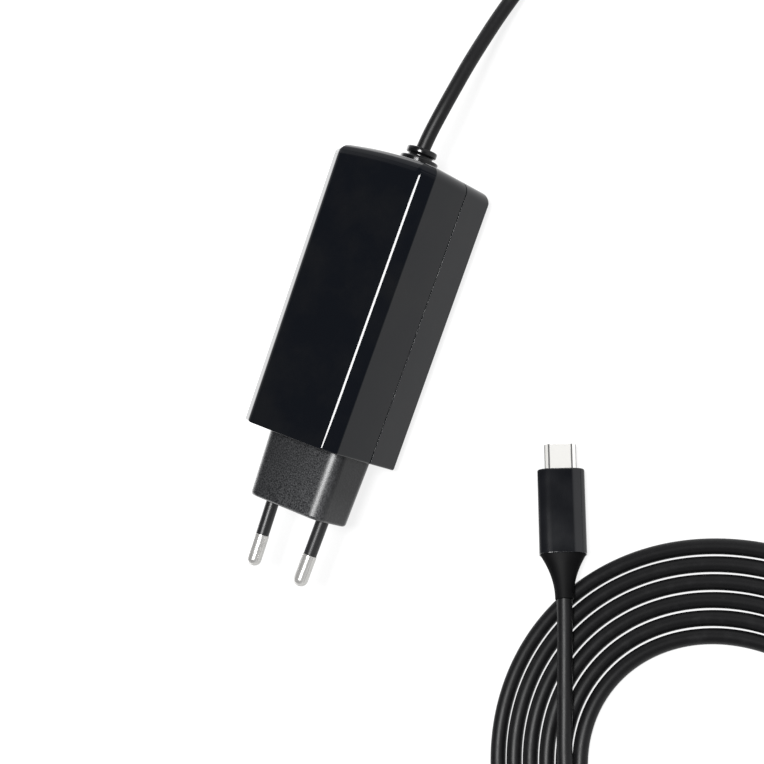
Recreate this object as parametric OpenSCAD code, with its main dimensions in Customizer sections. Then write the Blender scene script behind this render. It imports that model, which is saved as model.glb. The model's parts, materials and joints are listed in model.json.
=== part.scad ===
// Mains wall charger with a two-pin plug neck and a captive lead ending in a small reversible plug.
// Millimetres, +Z up: the body lies on its back face, +Y runs from the plug pins to the lead.

/* [Body] */
// body width at the plug end
width_at_plug = 34; // [30:0.5:40]
// body width at the lead end
width_at_lead = 36; // [30:0.5:42]
// body depth, back face to front face
body_depth = 34; // [29:0.5:41]
// body length without the plug neck
body_length = 81.5; // [68:0.5:98]
// leg of the front bevels across the body
bevel_across = 3.9; // [2:0.1:5]
// leg of the front bevels down the sides
bevel_deep = 2.9; // [2:0.1:4.5]
// both legs of the rear bevels
rear_bevel = 3.9; // [2:0.1:5]
// fillet round the lead end
end_fillet = 3; // [2.5:0.25:4]
// how far the lead end swells beyond its fillet
end_rise = 0.8; // [0.2:0.1:1.5]
// thickness of the case walls
wall = 2; // [1.6:0.1:2.4]
// depth of the front cover, front face to parting line
front_cover_depth = 18.4; // [15:0.2:21]

/* [Plug neck and pins] */
// neck width where it leaves the body
neck_width = 27.4; // [25.5:0.2:30]
// neck depth where it leaves the body
neck_depth = 17; // [15:0.2:20]
// neck length
neck_length = 19; // [16:0.5:23]
// how much narrower the neck is at its tip
neck_taper = 1.2; // [0:0.2:2]
// radius of the neck's long edges
neck_radius = 4; // [3:0.25:5]
// diameter of the metal pin tips
pin_diameter = 4; // [3.4:0.1:4.8]
// pin length outside the neck
pin_length = 19; // [16:0.5:23]
// length of the sleeve that covers a pin outside the neck
sleeve_length = 10; // [8:0.5:12]
// pin spacing where the pins leave the neck
spacing_at_neck = 18.6; // [17.5:0.1:19.5]
// pin spacing at the tips
spacing_at_tips = 17.5; // [17:0.1:18.5]

/* [Lead] */
// diameter of the lead
lead_diameter = 4; // [3.3:0.1:4.8]
// diameter of the gland's flange
gland_flange = 10.8; // [9:0.2:13]
// diameter of the gland's collar
gland_collar = 8.6; // [7.4:0.2:8.8]
// how far the gland stands out of the body
gland_reach = 5.2; // [4.4:0.2:6.2]

/* [Lead plug] */
// width of the metal tongue of the lead plug
tongue_width = 8.3; // [8.2:0.05:8.4]
// thickness of the metal tongue
tongue_height = 2.5; // [2.4:0.05:2.6]
// bare length of the metal tongue
tongue_length = 6.9; // [6.2:0.05:6.9]
// width of the plug's grip
grip_width = 12.2; // [10.6:0.2:13]
// thickness of the plug's grip
grip_height = 6.8; // [6:0.2:7.6]
// length of the plug's grip
grip_length = 22.2; // [18:0.5:27]
// length of the plug's bend relief
relief_length = 11.5; // [10:0.5:15]

/* [Hidden] */
// how far a cut runs past what it cuts
past = 1;
// smoothness of the true circles
$fn = 48;
// steps in a fillet or a swept taper
steps = 6;
// thin slice that stands for a section in a hull
slice = 0.02;
// overlap that joins solids of one piece
bond = 0.2;
// air left between neighbouring pieces
gap = 0.1;
// a length longer than the whole charger
far = 2 * body_length;

// total length from pin tips to the gland's outer face
total_length = pin_length + neck_length + body_length + gland_reach;
// body face that carries the neck
face_y = pin_length + neck_length - total_length / 2;
// outer end of the neck
neck_y = face_y - neck_length;
// middle of the domed lead end
end_y = face_y + body_length;
// height of the pins, the gland and the middle of the body
axis_z = body_depth / 2;
// height of the parting line
parting_z = body_depth - front_cover_depth;
// thickness of the rim that locates the front cover in the rear cover
rim_wall = 1;
// how far that rim reaches past the parting line
rim_reach = 2;

// inner size of the case for which the electronics are laid out
laid_out = [30, 77.5, 30];
// scale of the electronics across the case
fit_x = (min(width_at_plug, width_at_lead) - 2 * wall) / laid_out.x;
// scale of the electronics along the case
fit_y = (body_length - 2 * wall) / laid_out.y;
// scale of the electronics from back to front
fit_z = (body_depth - 2 * wall) / laid_out.z;
// scale of round electronics, which keep to the tightest direction
fit_round = min(fit_x, fit_y, fit_z);

// main board width, length and thickness
board = [27 * fit_x, 70.5 * fit_y, 1.6];
// start of the main board
board_y = face_y + wall + 5 * fit_y;
// underside and top of the main board
board_z = wall + 5 * fit_z;
// top of the main board, where the parts stand
deck_z = board_z + board.z;
// diameter of the posts under the board
post_diameter = 4;
// how far the posts stand in from the board's corners
post_inset = 3.2;

// neck boss that passes the case wall: width and depth
boss = [22.8, 11.5];
// room between the case walls at the plug end
case_room = width_at_plug - 2 * (wall + gap);
// neck flange behind the wall: width, thickness and depth
neck_flange = [min(25.4, case_room), 1.5, 14.5];
// bevel round the tip of the neck
neck_edge = 0.9;
// tilt of each pin towards the other
pin_tilt = atan((spacing_at_neck - spacing_at_tips) / 2 / pin_length);
// pin shank diameter under its sleeve
shank_diameter = 0.72 * pin_diameter;
// sleeve diameter
sleeve_diameter = 0.92 * pin_diameter;
// how deep a sleeve sits in the neck
sleeve_depth = neck_length / 3;
// how deep a pin sits in the neck
shank_depth = neck_length * 0.65;
// mains and output wire diameter
wire_diameter = 1.8;
// how far the mains wires reach into the case
mains_wire_reach = wall + neck_flange.y + 3 * fit_y;

// gland waist diameter, in the wall and between its two discs
gland_waist = 7;
// thickness of the gland's outer disc
gland_disc = 1.7;
// groove between the gland's discs
gland_groove = 1;
// thickness of the gland's flange inside the wall
gland_inner = 1.5;

// length of the metal tongue held in the grip
tongue_hold = 5;
// wall of the metal tongue
tongue_wall = 0.3;
// wall of the contact carrier inside the metal tongue
carrier_wall = 0.55;
// how far the contact carrier and the contacts stand back from the mouth
mouth_recess = [0.4, 1];
// contacts in one row of the lead plug
contact_count = 6;
// width, length and thickness of one contact
contact = [0.3, 7.5, 0.15];
// wall of the bend relief at its thin end
relief_wall = 0.4;
// how much narrower the bend relief is than the grip where they meet
relief_step = 1.2;
// how hollow the bend relief is drawn in
relief_hollow = 2.2;
// small board in the grip: width, length and thickness
small_board = [7, 9, 0.8];

// height of the lead above the table where it lies
lie_z = lead_diameter / 2 + gap;
// height of the lead where it crosses the coil
cross_z = lead_diameter * 1.5 + 3 * gap;
// sides of the swept lead
lead_sides = 10;
// middle of the gland's outer face, where the lead leaves
exit = [0, end_y + gland_reach, axis_z];
// middle of the coil, from the exit
coil_at = [138.6, exit.y - 127.5];
// outer half width and half length of the coil
coil_outer = [68.6, 58.6];
// inner half width and half length of the coil
coil_inner = [40.2, 34.2];
// points of the lead from the exit: x, y and the share of the exit's height that is left
lead_route = [
    [0, 0, 1], [0.5, 5, 0.99], [1.4, 12, 0.95], [1.9, 19, 0.86], [2.15, 27, 0.72], [2.3, 35, 0.54],
    [2.7, 43, 0.36], [3.8, 51, 0.2], [6.2, 60, 0.08], [10.8, 71, 0], [17.6, 81, 0], [27, 90, 0], [38, 96, 0],
    [51, 98, 0], [64, 95, 0], [75, 88, 0], [84, 78, 0], [91, 66, 0], [97, 54, 0], [102, 42, 0],
    [107, 30, 0], [112, 18, 0], [117, 6, 0], [122, -6, 0], [128, -18, 0], [135, -30, 0], [143, -41, 0],
    [152, -51, 0], [162, -61, 0], [172, -70.5, 0], [181.4, -80.4, 0]
];
// points of the tail that crosses the coil: x and y from the exit, and the share of its climb
tail_route = [
    [168, -148.2, 0], [163.2, -152.2, 0], [156.5, -155.6, 0], [149, -158, 0], [139, -159.6, 0.04],
    [130, -159.4, 0.35], [121, -157, 0.8], [112.6, -153.6, 1], [105, -149.2, 1], [99.8, -144.2, 1],
    [96.6, -138.2, 1], [92.8, -128.6, 1], [89, -119, 1], [85.2, -109.4, 1]
];
// end of the bend relief, where the tail meets the lead plug, from the exit
plug_at = [82, exit.y - 101.6, cross_z];
// turn of the lead plug about the vertical
plug_turn = 25;
// roll of the lead plug about its own length
plug_roll = 29;
// shoulder between the grip's sloped flank and its side, as shares of width and height
grip_shoulder = [0.42, 0.36];
// half the height of the grip's narrow edges, as a share of its height
grip_edge = 0.1764;
// how low the rolled grip reaches below its axis
plug_drop = grip_width * grip_shoulder[0] * sin(plug_roll) + grip_height * grip_shoulder[1] * cos(plug_roll);
// dip of the lead plug, so that the front of its grip rests on the table
plug_dip = asin((cross_z - plug_drop - 2 * gap) / (relief_length + grip_length));

// half width of the body at a distance from its plug face
function half_width(y) = (width_at_plug + (width_at_lead - width_at_plug) * y / body_length) / 2;
// how far the fillet has turned in at a step
function fillet_radius(inset) = max(end_fillet - inset, slice);
// stations of the body, [distance from the plug face, how far the section is drawn in]
function stations(inset) = [
    [inset, inset],
    for (i = [0 : steps])
        let (a = 90 * i / steps)
        [
            body_length - end_rise - end_fillet + fillet_radius(inset) * sin(a),
            inset + fillet_radius(inset) * (1 - cos(a))
        ],
    [body_length - inset - slice, end_fillet + max(inset, gap) + width_at_lead / 4]
];
// a point along the lead from its share of the exit's height
function lead_point(p) = [exit.x + p[0], exit.y + p[1], lie_z + (exit.z - lie_z) * p[2]];
// a point along the tail from its share of the climb over the coil
function tail_point(p) = [p[0], exit.y + p[1], lie_z + (cross_z - lie_z) * p[2]];
// direction of a path at one of its points
function heading(path, i) =
    let (d = path[min(i + 1, len(path) - 1)] - path[max(i - 1, 0)]) d / norm(d);
// sideways direction of a path at one of its points
function sideways(d) = let (s = cross(d, [0, 0, 1])) s / norm(s);
// ring of corners round a path point
function ring(at, d, r) =
    let (s = sideways(d), u = cross(s, d))
    [for (k = [0 : lead_sides - 1])
        at + r * (s * cos(360 * (k + 0.5) / lead_sides) + u * sin(360 * (k + 0.5) / lead_sides))];
// oval ring of corners across the lead plug, squarer than an ellipse
function oval_ring(y, w, h, n) =
    [for (k = [0 : n - 1])
        let (a = 360 * k / n, c = cos(a), s = sin(a), q = pow(pow(abs(c), 3) + pow(abs(s), 3), -1 / 3))
        [w / 2 * c * q, y, h / 2 * s * q]];

// turns a local z axis to +Y at a distance along the charger
module along(y, z = axis_z) {
    translate([0, y, z]) rotate([-90, 0, 0]) children();
}

// rectangle with bevelled corners, drawn in by an inset; the front is at its low side
module bevelled(w, d, inset) {
    offset(delta = -inset) polygon([
        [-w / 2, bevel_deep - d / 2], [bevel_across - w / 2, -d / 2],
        [w / 2 - bevel_across, -d / 2], [w / 2, bevel_deep - d / 2],
        [w / 2, d / 2 - rear_bevel], [w / 2 - rear_bevel, d / 2],
        [rear_bevel - w / 2, d / 2], [-w / 2, d / 2 - rear_bevel]
    ]);
}

// outside of the body drawn in by an inset
module body_form(inset) {
    hull() for (s = stations(inset))
        along(face_y + s[0]) linear_extrude(slice)
            bevelled(2 * half_width(s[0]), body_depth, s[1]);
}

// all space above one height
module above(z) {
    translate([-far / 2, -far / 2, z]) cube(far);
}

// all space below one height
module below(z) {
    translate([-far / 2, -far / 2, z - far]) cube(far);
}

// opening in the plug face for the neck's boss
module boss_opening(extra) {
    along(face_y - wall) linear_extrude(3 * wall) square(boss + [2, 2] * extra, center = true);
}

// round opening in the lead end for the gland's waist
module gland_opening() {
    along(end_y - 3 * wall) cylinder(d = gland_waist + 2 * gap, h = 4 * wall);
}

module front_cover() {
    color([0.03, 0.03, 0.035]) difference() {
        union() {
            intersection() {
                body_form(0);
                above(parting_z);
            }
            intersection() {
                body_form(wall + gap);
                above(parting_z - rim_reach);
                below(parting_z + gap);
            }
        }
        intersection() {
            body_form(wall);
            above(parting_z + rim_reach);
        }
        body_form(wall + gap + rim_wall);
        boss_opening(gap);
        gland_opening();
        rim_relief();
    }
}

// room in the rim for the neck's flange and the gland's inner flange
module rim_relief() {
    along(face_y + wall) linear_extrude(neck_flange.y + gap)
        square([neck_flange.x + 2 * gap, neck_flange.z + 2 * gap], center = true);
    along(end_y - wall - 2 * gland_inner) cylinder(d = gland_flange + 4 * gap, h = 2 * gland_inner);
}

module rear_cover() {
    color([0.03, 0.03, 0.035]) union() {
        difference() {
            intersection() {
                body_form(0);
                below(parting_z);
            }
            body_form(wall);
            boss_opening(gap);
            gland_opening();
        }
        for (x = [-1, 1], y = [0, 1])
            translate([
                x * (board.x / 2 - post_inset),
                board_y + post_inset + y * (board.y - 2 * post_inset),
                wall - bond
            ]) cylinder(d = post_diameter, h = board_z - wall + bond);
    }
}

// sets a local z axis along a pin, outwards from the neck
module at_pin(side) {
    translate([side * spacing_at_neck / 2, neck_y, axis_z])
        rotate([0, 0, -side * pin_tilt]) rotate([90, 0, 0]) children();
}

// rectangle with rounded corners made of posts that narrow towards the tip
module neck_block() {
    hull() for (x = [-1, 1], z = [-1, 1])
        along(neck_y) translate([
            x * (neck_width - neck_taper - 2 * neck_radius) / 2,
            z * (neck_depth - neck_taper / 2 - 2 * neck_radius) / 2, 0
        ]) neck_post(x, z);
}

// one corner of the neck, leaning with the taper
module neck_post(x, z) {
    translate([0, 0, neck_edge]) cylinder(r = neck_radius, h = slice, $fn = 32);
    cylinder(r = neck_radius - neck_edge, h = slice, $fn = 32);
    translate([x * neck_taper / 2, z * neck_taper / 4, neck_length - slice])
        cylinder(r = neck_radius, h = slice, $fn = 32);
}

module plug_neck() {
    color([0.12, 0.12, 0.125]) difference() {
        union() {
            neck_block();
            along(face_y - bond) linear_extrude(wall + bond + gap) square(boss, center = true);
            along(face_y + wall + gap / 2) linear_extrude(neck_flange.y)
                square([neck_flange.x, neck_flange.z], center = true);
        }
        for (side = [-1, 1]) at_pin(side) {
            translate([0, 0, -sleeve_depth - gap]) cylinder(d = sleeve_diameter, h = sleeve_depth + 3 * past);
            translate([0, 0, -shank_depth - gap]) cylinder(d = shank_diameter, h = shank_depth + 3 * past);
            translate([0, 0, -far / 2]) cylinder(d = wire_diameter + gap, h = far / 2);
        }
    }
}

// one plug pin: bare rounded tip and a thinner shank under the sleeve
module pin(side) {
    color([0.78, 0.77, 0.75]) at_pin(side) {
        translate([0, 0, -shank_depth])
            cylinder(d = shank_diameter - gap / 2, h = shank_depth + sleeve_length + bond);
        translate([0, 0, sleeve_length])
            cylinder(d = pin_diameter, h = pin_length - sleeve_length - pin_diameter / 2);
        translate([0, 0, pin_length - pin_diameter / 2]) sphere(d = pin_diameter);
    }
}

module left_pin() {
    pin(-1);
}

module right_pin() {
    pin(1);
}

// insulating sleeve of one pin
module sleeve(side) {
    color([0.05, 0.05, 0.05]) at_pin(side) difference() {
        translate([0, 0, -sleeve_depth])
            cylinder(d = sleeve_diameter - gap / 2, h = sleeve_depth + sleeve_length);
        translate([0, 0, -sleeve_depth - past])
            cylinder(d = shank_diameter, h = sleeve_depth + sleeve_length + 2 * past);
    }
}

module left_pin_sleeve() {
    sleeve(-1);
}

module right_pin_sleeve() {
    sleeve(1);
}

// one mains wire: from the pin through the neck, then down to the board
module mains_wire(side) {
    depth = neck_length + mains_wire_reach;
    x = side * (spacing_at_neck / 2 + depth * tan(pin_tilt));
    color([0.35, 0.2, 0.1]) {
        at_pin(side) translate([0, 0, -depth - wire_diameter / 2])
            cylinder(d = wire_diameter, h = depth + wire_diameter / 2 - shank_depth);
        translate([x, neck_y + depth, deck_z]) cylinder(d = wire_diameter - gap, h = axis_z - deck_z);
    }
}

module left_mains_wire() {
    mains_wire(-1);
}

module right_mains_wire() {
    mains_wire(1);
}

module lead_gland() {
    outer = end_y + gland_reach;
    disc_start = gland_reach - gland_disc - gland_groove;
    color([0.04, 0.04, 0.04]) {
        along(end_y - wall - gland_inner - gap) cylinder(d = gland_flange, h = gland_inner);
        along(end_y - wall - gland_inner)
            cylinder(d = gland_waist, h = wall + gland_inner + gland_reach - gap);
        along(end_y + gap / 2) cylinder(d = gland_flange, h = disc_start - gap / 2);
        along(outer - gland_disc) cylinder(d = gland_collar, h = gland_disc);
    }
}

// stands a block on the board: place across, place along, size, and height of its foot
module stand(x, y, size, z = deck_z) {
    translate([x * fit_x - size.x * fit_x / 2, board_y + y * fit_y - size.y * fit_y / 2, z])
        cube([size.x * fit_x, size.y * fit_y, size.z * fit_z]);
}

module main_board() {
    color([0.05, 0.32, 0.14]) translate([-board.x / 2, board_y, board_z]) cube(board);
}

module fuse() {
    size = [8, 8.5];
    color([0.2, 0.2, 0.22]) translate([-8 * fit_x, board_y + 6.5 * fit_y, deck_z])
        cylinder(d = size[0] * fit_round, h = size[1] * fit_z);
}

module mains_filter_capacitor() {
    color([0.75, 0.72, 0.2]) stand(4.5, 6.5, [13, 6, 11]);
}

// sets a local z axis along the choke's own axis
module at_choke(diameter) {
    translate([-6 * fit_x, board_y + 15 * fit_y, deck_z + (diameter / 2 + 1.2) * fit_round])
        rotate([-90, 0, 0]) children();
}

// outer diameter, hole diameter and thickness of the choke's ring
choke_ring = [12, 6, 4.4];
// thickness of the wire on the choke's ring
choke_wire = 0.8;

module choke_core() {
    r = choke_ring / 2 * fit_round;
    color([0.2, 0.22, 0.2]) at_choke(choke_ring[0]) rotate_extrude()
        translate([r[1], -r[2]]) square([r[0] - r[1], 2 * r[2]]);
}

module choke_winding() {
    r = choke_ring / 2 * fit_round;
    t = choke_wire * fit_round;
    color([0.72, 0.36, 0.14]) at_choke(choke_ring[0]) for (start = [30, 210])
        rotate([0, 0, start]) rotate_extrude(angle = 120) difference() {
            translate([r[1] - t, -r[2] - t]) square([r[0] - r[1] + 2 * t, 2 * r[2] + 2 * t]);
            translate([r[1] - gap / 2, -r[2] - gap / 2]) square([r[0] - r[1] + gap, 2 * r[2] + gap]);
        }
}

module bridge_rectifier() {
    color([0.08, 0.08, 0.08]) stand(7, 15, [9, 4, 12]);
}

// one smoothing capacitor lying along the board
module bulk_capacitor(side) {
    diameter = 12.6 * fit_round;
    start = 19 * fit_y;
    color([0.12, 0.12, 0.3])
        translate([side * 6.6 * fit_x, board_y + start, deck_z + diameter / 2])
            rotate([-90, 0, 0]) cylinder(d = diameter, h = 20.5 * fit_y);
}

module left_bulk_capacitor() {
    bulk_capacitor(-1);
}

module right_bulk_capacitor() {
    bulk_capacitor(1);
}

module safety_capacitor() {
    diameter = 7 * fit_round;
    color([0.15, 0.35, 0.65])
        translate([7 * fit_x, board_y + 40 * fit_y, deck_z + diameter / 2])
            rotate([-90, 0, 0]) cylinder(d = diameter, h = 2.2 * fit_y);
}

// transformer core: width, length and height
core = [21 * fit_x, 17.5 * fit_y, 17 * fit_z];
// thickness of the core's plates and side legs
core_plate = [2.6 * fit_x, 2.8 * fit_z];
// middle of the transformer along the board
core_y = board_y + 52 * fit_y;
// diameter of the core's middle post
core_post = 6.5 * fit_round;
// wall of the bobbin
bobbin_wall = 0.8 * fit_round;
// diameter of the bobbin's flanges
bobbin_flange = 15 * fit_round;
// height of the window between the core's plates
core_window = core.z - 2 * core_plate[1];

module transformer_core() {
    color([0.16, 0.16, 0.17]) translate([0, core_y, deck_z]) {
        difference() {
            translate([-core.x / 2, -core.y / 2, 0]) cube(core);
            translate([core_plate[0] - core.x / 2, -core.y, core_plate[1]])
                cube([core.x - 2 * core_plate[0], 2 * core.y, core_window]);
        }
        translate([0, 0, core_plate[1] - bond]) cylinder(d = core_post, h = core_window + 2 * bond);
    }
}

module transformer_bobbin() {
    height = core_window - 2 * gap;
    color([0.85, 0.82, 0.7]) translate([0, core_y, deck_z + core_plate[1] + gap]) difference() {
        union() {
            cylinder(d = core_post + 2 * gap + 2 * bobbin_wall, h = height);
            for (z = [0, height - bobbin_wall]) translate([0, 0, z])
                cylinder(d = bobbin_flange, h = bobbin_wall);
        }
        translate([0, 0, -past]) cylinder(d = core_post + 2 * gap, h = height + 2 * past);
    }
}

module transformer_winding() {
    height = core_window - 2 * bobbin_wall - 4 * gap;
    hole = core_post + 4 * gap + 2 * bobbin_wall;
    color([0.85, 0.65, 0.15])
        translate([0, core_y, deck_z + core_plate[1] + bobbin_wall + 2 * gap]) difference() {
            cylinder(d = bobbin_flange - 2 * bobbin_wall, h = height);
            translate([0, 0, -past]) cylinder(d = hole, h = height + 2 * past);
        }
}

module output_board() {
    color([0.05, 0.32, 0.14]) stand(0, 62.2, [24, 1.2, 14]);
}

// one output capacitor standing on the board
module output_capacitor(side) {
    color([0.7, 0.71, 0.72]) translate([side * 8.4 * fit_x, board_y + 66.6 * fit_y, deck_z])
        cylinder(d = 6.3 * fit_round, h = 9 * fit_z);
}

module left_output_capacitor() {
    output_capacitor(-1);
}

module right_output_capacitor() {
    output_capacitor(1);
}

module optocoupler() {
    color([0.9, 0.9, 0.88]) stand(0, 66.5, [4.4, 6, 3.4]);
}

// power switch under the board: width, length and thickness
switch_size = [8, 8, 0.9];
// thickness of the two heat spreaders
spreader = 1;
// middle of the spreaders and the sheet along the board
spreader_mid = 36;
// thickness of the insulating sheet under the front cover
sheet = 0.5;
// air between that sheet and the front heat spreader
sheet_air = 0.4;
// underside of the insulating sheet
sheet_z = body_depth - wall - gap - sheet * fit_z;
// underside of the front heat spreader
spreader_z = sheet_z - sheet_air - spreader * fit_z;

module power_switch() {
    color([0.1, 0.1, 0.1]) stand(-4, 50, switch_size, board_z - switch_size.z * fit_z);
}

module control_chip() {
    size = [5, 5, 1];
    color([0.1, 0.1, 0.1]) stand(5, 28, size, board_z - size.z * fit_z);
}

module rear_heat_spreader() {
    color([0.75, 0.76, 0.78]) stand(0, spreader_mid, [17, 56, spreader], wall);
}

module rear_thermal_pad() {
    height = board_z - wall - (switch_size.z + spreader) * fit_z;
    color([0.45, 0.6, 0.75]) translate([-8 * fit_x, board_y + 46 * fit_y, wall + spreader * fit_z])
        cube([8 * fit_x, 8 * fit_y, height]);
}

module front_heat_spreader() {
    color([0.75, 0.76, 0.78]) stand(0, spreader_mid, [20, 58, spreader], spreader_z);
}

// side of the front thermal pad
pad = 12;

module front_thermal_pad() {
    foot = deck_z + core.z;
    color([0.45, 0.6, 0.75]) translate([-pad / 2 * fit_x, core_y - pad / 2 * fit_y, foot])
        cube([pad * fit_x, pad * fit_y, spreader_z - foot]);
}

module insulating_sheet() {
    color([0.9, 0.88, 0.75]) stand(0, spreader_mid, [21, 62, sheet], sheet_z);
}

// one output wire: from the gland, then down to the board
module output_wire(side) {
    x = side * 3.6 * fit_x;
    start = end_y - wall - gland_inner - gap;
    reach = 3 * fit_y;
    color([0.6, 0.05, 0.05]) {
        along(start - reach) translate([x, 0, 0]) cylinder(d = wire_diameter, h = reach);
        translate([x, start - reach + wire_diameter / 2, deck_z])
            cylinder(d = wire_diameter - gap, h = axis_z - deck_z);
    }
}

module left_output_wire() {
    output_wire(-1);
}

module right_output_wire() {
    output_wire(1);
}

// one closed tube swept along a path
module tube(path, r) {
    n = lead_sides;
    last = len(path) - 1;
    polyhedron(
        points = [for (i = [0 : last]) each ring(path[i], heading(path, i), r)],
        faces = [
            [for (k = [0 : n - 1]) k],
            for (i = [0 : last - 1], k = [0 : n - 1])
                [i * n + k, (i + 1) * n + k, (i + 1) * n + (k + 1) % n, i * n + (k + 1) % n],
            [for (k = [n - 1 : -1 : 0]) last * n + k]
        ],
        convexity = 6
    );
}

// flat oval of two half sizes
module oval(half) {
    scale([1, half.y / half.x]) circle(r = half.x, $fn = 96);
}

module lead_run() {
    color([0.03, 0.03, 0.03]) tube([for (p = lead_route) lead_point(p)], lead_diameter / 2);
}

module lead_coil() {
    color([0.03, 0.03, 0.03]) translate([coil_at.x, coil_at.y, gap]) linear_extrude(lead_diameter)
        difference() {
            oval(coil_outer);
            oval(coil_inner);
        }
}

module lead_tail() {
    color([0.03, 0.03, 0.03])
        tube([each [for (p = tail_route) tail_point(p)], plug_at], lead_diameter / 2);
}

// sets +Y along the lead plug, from the end of its bend relief
module at_plug() {
    translate(plug_at) rotate([0, 0, plug_turn]) rotate([-plug_dip, 0, 0]) rotate([0, plug_roll, 0])
        children();
}

// half round-ended bar in section
module stadium(w, h) {
    square([w - h, h], center = true);
    for (x = [-1, 1]) translate([x * (w - h) / 2, 0]) circle(d = h);
}

// turns a section to stand across the lead plug
module across(y) {
    translate([0, y, 0]) rotate([-90, 0, 0]) children();
}

// length of the lead plug up to the mouth of its metal tongue
plug_length = relief_length + grip_length + tongue_length;

module tongue_shell() {
    start = relief_length + grip_length - tongue_hold;
    color([0.8, 0.8, 0.8]) at_plug() across(start) linear_extrude(plug_length - start) difference() {
        stadium(tongue_width, tongue_height);
        stadium(tongue_width - 2 * tongue_wall, tongue_height - 2 * tongue_wall);
    }
}

module contact_carrier() {
    start = relief_length + grip_length - tongue_hold;
    w = tongue_width - 2 * tongue_wall - gap;
    h = tongue_height - 2 * tongue_wall - gap;
    color([0.08, 0.08, 0.08]) at_plug() difference() {
        across(start) linear_extrude(plug_length - start - mouth_recess[0]) stadium(w, h);
        across(start + 2) linear_extrude(plug_length)
            square([w - 2 * carrier_wall, h - 2 * carrier_wall], center = true);
    }
}

module plug_contacts() {
    pitch = (tongue_width - 4 * carrier_wall) / (contact_count + 1);
    rise = (tongue_height - 2 * tongue_wall - gap) / 2 - carrier_wall;
    color([0.85, 0.65, 0.25]) at_plug() for (i = [1 : contact_count], side = [-1, 1])
        translate([
            i * pitch - (contact_count + 1) * pitch / 2 - contact.x / 2,
            plug_length - mouth_recess[1] - contact.y,
            side * (rise - contact.z / 2) - contact.z / 2
        ]) cube(contact);
}

// section of the plug's grip: flat top and bottom, sloped flanks
module grip_section(w, h) {
    flat = w / 4;
    side = h * grip_edge;
    x = w * grip_shoulder[0];
    y = h * grip_shoulder[1];
    polygon([
        [-w / 2, -side], [-x, -y], [-flat, -h / 2], [flat, -h / 2], [x, -y], [w / 2, -side],
        [w / 2, side], [x, y], [flat, h / 2], [-flat, h / 2], [-x, y], [-w / 2, side]
    ]);
}

module plug_grip() {
    hold = relief_length + grip_length - tongue_hold;
    color([0.04, 0.04, 0.045]) at_plug() difference() {
        across(relief_length) linear_extrude(grip_length) grip_section(grip_width, grip_height);
        across(hold) linear_extrude(tongue_hold + past) stadium(tongue_width + gap, tongue_height + gap);
        across(hold - small_board.y) linear_extrude(small_board.y + bond)
            square([small_board.x + 2 * gap, small_board.z + 2 * gap], center = true);
    }
}

module plug_board() {
    hold = relief_length + grip_length - tongue_hold;
    color([0.05, 0.32, 0.14]) at_plug()
        translate([-small_board.x / 2, hold - small_board.y, -small_board.z / 2]) cube(small_board);
}

// bend relief: an oval section that draws in to the lead in a hollow curve
module plug_relief() {
    n = 24;
    tip = lead_diameter + 2 * relief_wall;
    rings = [for (i = [0 : steps])
        let (t = i / steps, k = pow(t, relief_hollow))
        oval_ring(
            relief_length * t,
            tip + (grip_width - relief_step - tip) * k,
            tip + (grip_height - relief_step / 2 - tip) * k, n)];
    color([0.03, 0.03, 0.03]) at_plug() polyhedron(
        points = [for (r = rings) each r],
        faces = [
            [for (k = [n - 1 : -1 : 0]) k],
            for (i = [0 : steps - 1], k = [0 : n - 1])
                [i * n + k, i * n + (k + 1) % n, (i + 1) * n + (k + 1) % n, (i + 1) * n + k],
            [for (k = [0 : n - 1]) steps * n + k]
        ],
        convexity = 4
    );
}

front_cover();
rear_cover();
plug_neck();
left_pin();
right_pin();
left_pin_sleeve();
right_pin_sleeve();
left_mains_wire();
right_mains_wire();
lead_gland();
main_board();
fuse();
mains_filter_capacitor();
choke_core();
choke_winding();
bridge_rectifier();
left_bulk_capacitor();
right_bulk_capacitor();
safety_capacitor();
transformer_core();
transformer_bobbin();
transformer_winding();
output_board();
left_output_capacitor();
right_output_capacitor();
optocoupler();
power_switch();
control_chip();
rear_heat_spreader();
rear_thermal_pad();
front_heat_spreader();
front_thermal_pad();
insulating_sheet();
left_output_wire();
right_output_wire();
lead_run();
lead_coil();
lead_tail();
tongue_shell();
contact_carrier();
plug_contacts();
plug_grip();
plug_board();
plug_relief();
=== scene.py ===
import json
from math import cos, degrees, pi, radians, sin

import bpy
from mathutils import Matrix, Vector

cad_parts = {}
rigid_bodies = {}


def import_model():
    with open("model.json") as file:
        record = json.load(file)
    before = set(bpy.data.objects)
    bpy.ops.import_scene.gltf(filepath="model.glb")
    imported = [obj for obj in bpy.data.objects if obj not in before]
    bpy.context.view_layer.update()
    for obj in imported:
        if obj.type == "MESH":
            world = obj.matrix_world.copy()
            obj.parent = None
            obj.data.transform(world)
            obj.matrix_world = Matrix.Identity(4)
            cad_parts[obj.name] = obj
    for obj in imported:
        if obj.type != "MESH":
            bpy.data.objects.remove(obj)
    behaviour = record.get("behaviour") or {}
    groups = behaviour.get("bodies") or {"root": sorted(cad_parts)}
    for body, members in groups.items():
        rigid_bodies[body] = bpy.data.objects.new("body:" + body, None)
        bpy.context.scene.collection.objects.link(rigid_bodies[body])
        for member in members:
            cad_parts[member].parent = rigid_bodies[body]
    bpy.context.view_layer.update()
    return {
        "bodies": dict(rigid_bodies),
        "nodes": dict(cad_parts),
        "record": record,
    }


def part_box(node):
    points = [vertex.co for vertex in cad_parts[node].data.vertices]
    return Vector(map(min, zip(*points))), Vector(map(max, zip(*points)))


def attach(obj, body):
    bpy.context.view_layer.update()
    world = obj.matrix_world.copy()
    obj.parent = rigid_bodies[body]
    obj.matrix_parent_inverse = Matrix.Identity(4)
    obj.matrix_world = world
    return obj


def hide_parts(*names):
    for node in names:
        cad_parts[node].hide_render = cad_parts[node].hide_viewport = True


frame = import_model()
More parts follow.
